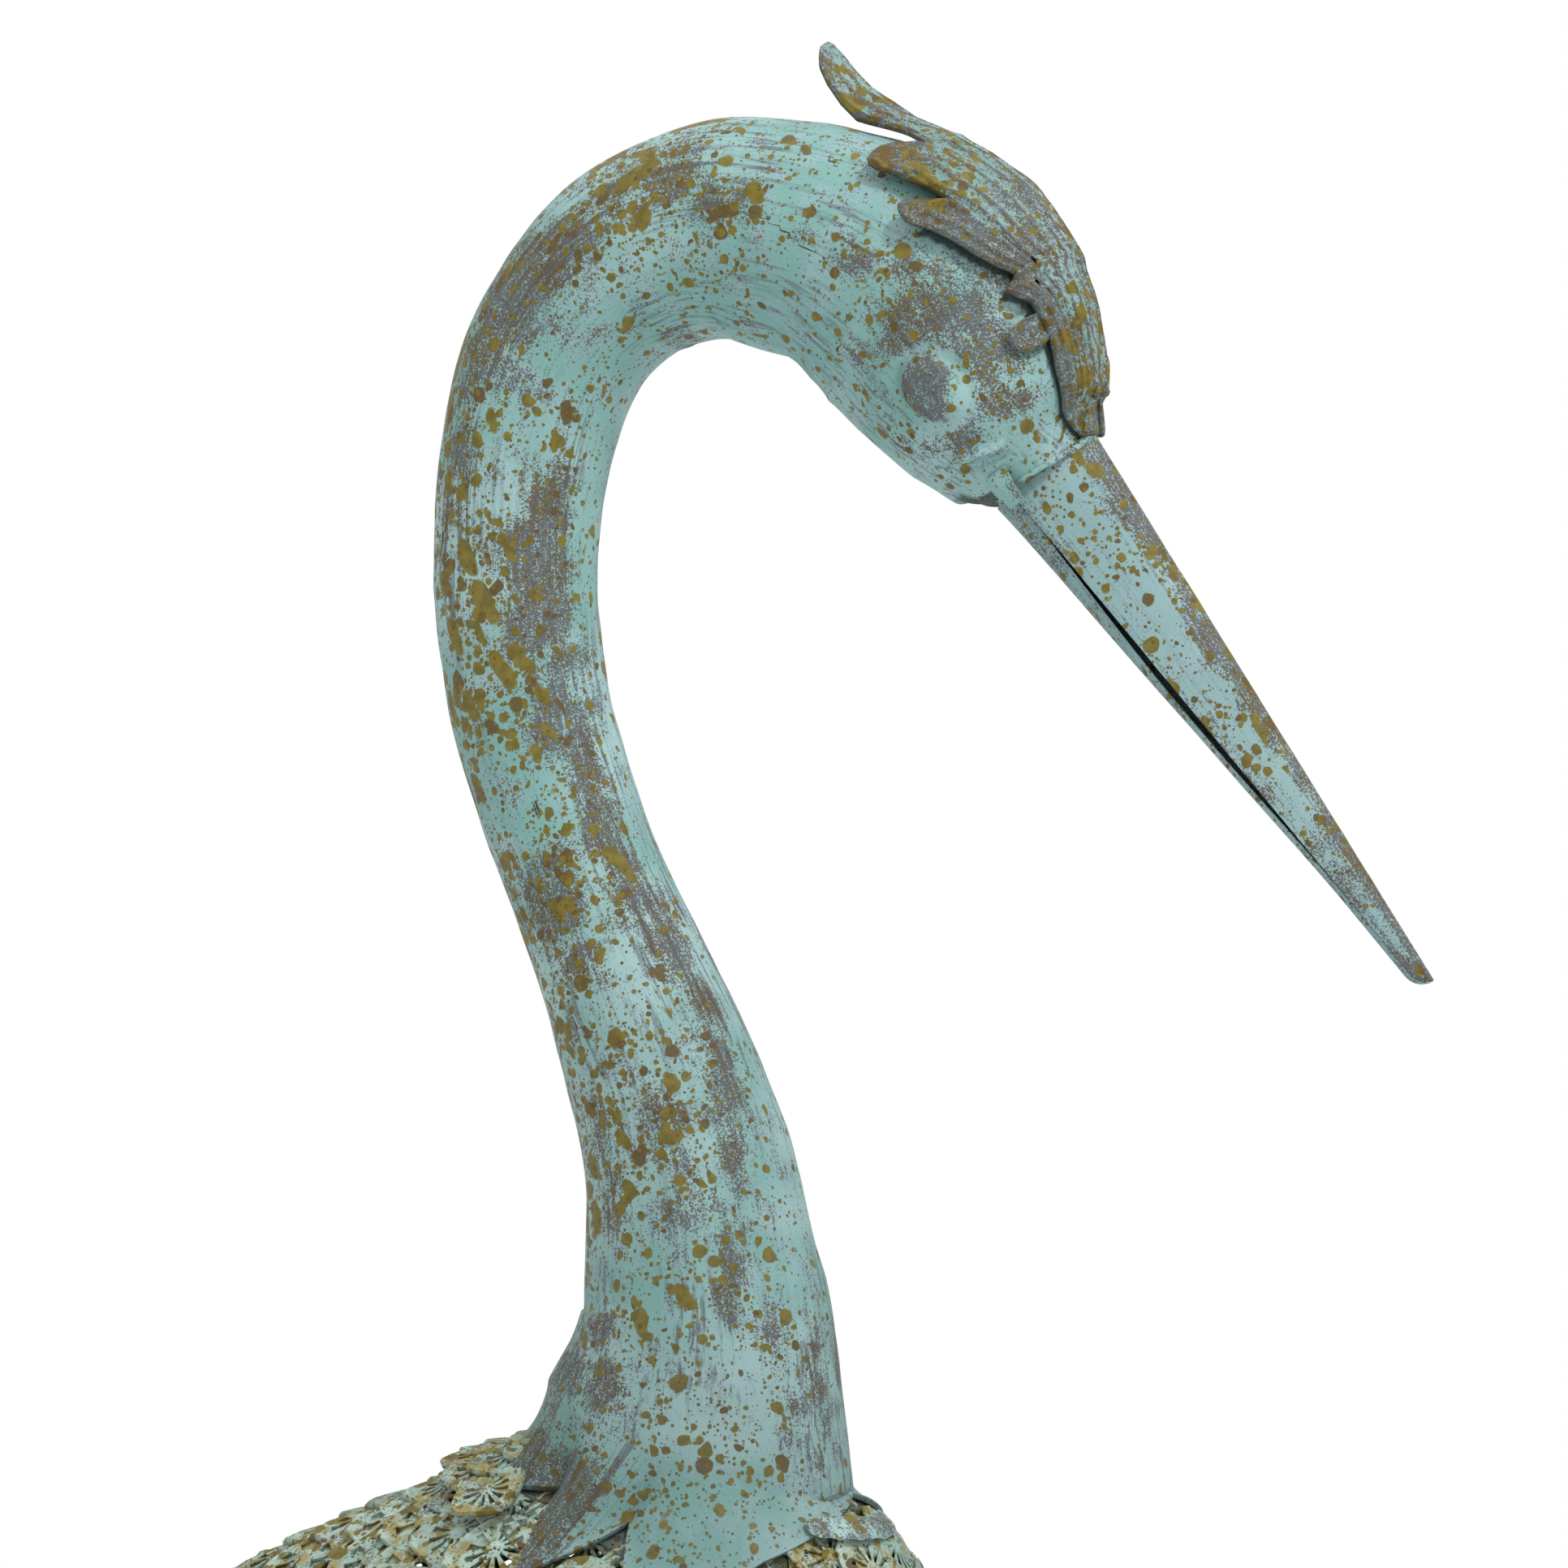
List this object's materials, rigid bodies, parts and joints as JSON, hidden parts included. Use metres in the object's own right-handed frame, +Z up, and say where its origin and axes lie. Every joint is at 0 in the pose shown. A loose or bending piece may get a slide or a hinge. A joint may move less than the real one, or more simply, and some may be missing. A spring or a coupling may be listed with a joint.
{
  "type": "crane garden statue",
  "caption": "Standing crane garden statue in weathered painted metal, with a curved neck, plumed crest, long beak, feathered body and low oval base.",
  "frame": {"origin": "centre of the base plate's underside, at floor level", "axes": "+X forward, the way the bird faces; +Y to the bird's left; +Z up"},
  "size_m": [0.7608, 0.25, 1.2532],
  "materials": {
    "painted_turquoise": "satin, weathered",
    "painted_crest": "satin, weathered",
    "painted_beak": "satin, weathered",
    "painted_feathers": "satin, weathered",
    "painted_legs": "satin, weathered"
  },
  "bodies": {
    "root": {"neck_and_head": "painted_turquoise", "breast_tab": "painted_turquoise", "crest": "painted_crest", "eye_right": "painted_crest", "eye_left": "painted_crest", "upper_beak": "painted_beak", "lower_beak": "painted_beak", "body": "painted_feathers", "wing_right": "painted_feathers", "wing_left": "painted_feathers", "tail": "painted_feathers", "leg_right": "painted_legs", "leg_left": "painted_legs", "foot_right": "painted_legs", "foot_left": "painted_legs", "base_plate": "painted_legs"}
  },
  "joints": []
}
